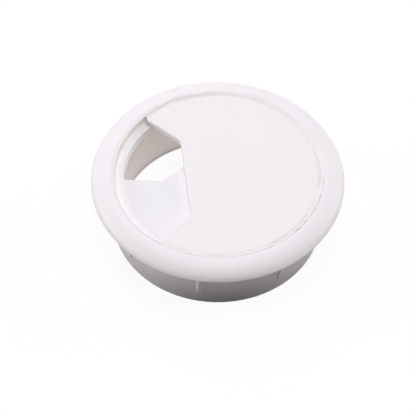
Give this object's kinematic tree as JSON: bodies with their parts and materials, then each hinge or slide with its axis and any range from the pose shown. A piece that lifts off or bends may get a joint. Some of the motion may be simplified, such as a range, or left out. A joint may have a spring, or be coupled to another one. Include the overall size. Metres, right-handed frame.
{
  "type": "desk grommet",
  "caption": "Round flanged cable grommet for a desk, with a ribbed sleeve, a drop-in tray and a turning cap whose notch opens or closes the cable outlet.",
  "frame": {"origin": "on the turning axis, level with the bottom edge of the liner's sleeve; the desk's surface lies 17.6 mm above it", "axes": "+Z along the turning axis, out of the desk; the tray's window lies about azimuth 133 degrees from +X and the cap's notch about 188.6 degrees"},
  "size_m": [0.07, 0.07, 0.0208],
  "materials": {
    "liner_white": "moulded white plastic, satin",
    "tray_white": "moulded white plastic, satin",
    "cap_white": "moulded white plastic, satin"
  },
  "bodies": {
    "liner": {"liner": "liner_white"},
    "insert": {"insert_tray": "tray_white"},
    "cap": {"rotary_cap": "cap_white"}
  },
  "joints": [
    {"name": "insert_lift", "type": "slide", "parent": "liner", "child": "insert", "axis": [0, 0, 1], "range_m": [0, 0.02]},
    {"name": "cap_turn", "type": "hinge", "parent": "insert", "child": "cap", "pos_m": [0, 0, 0.0184], "axis": [0, 0, 1], "continuous": true}
  ]
}
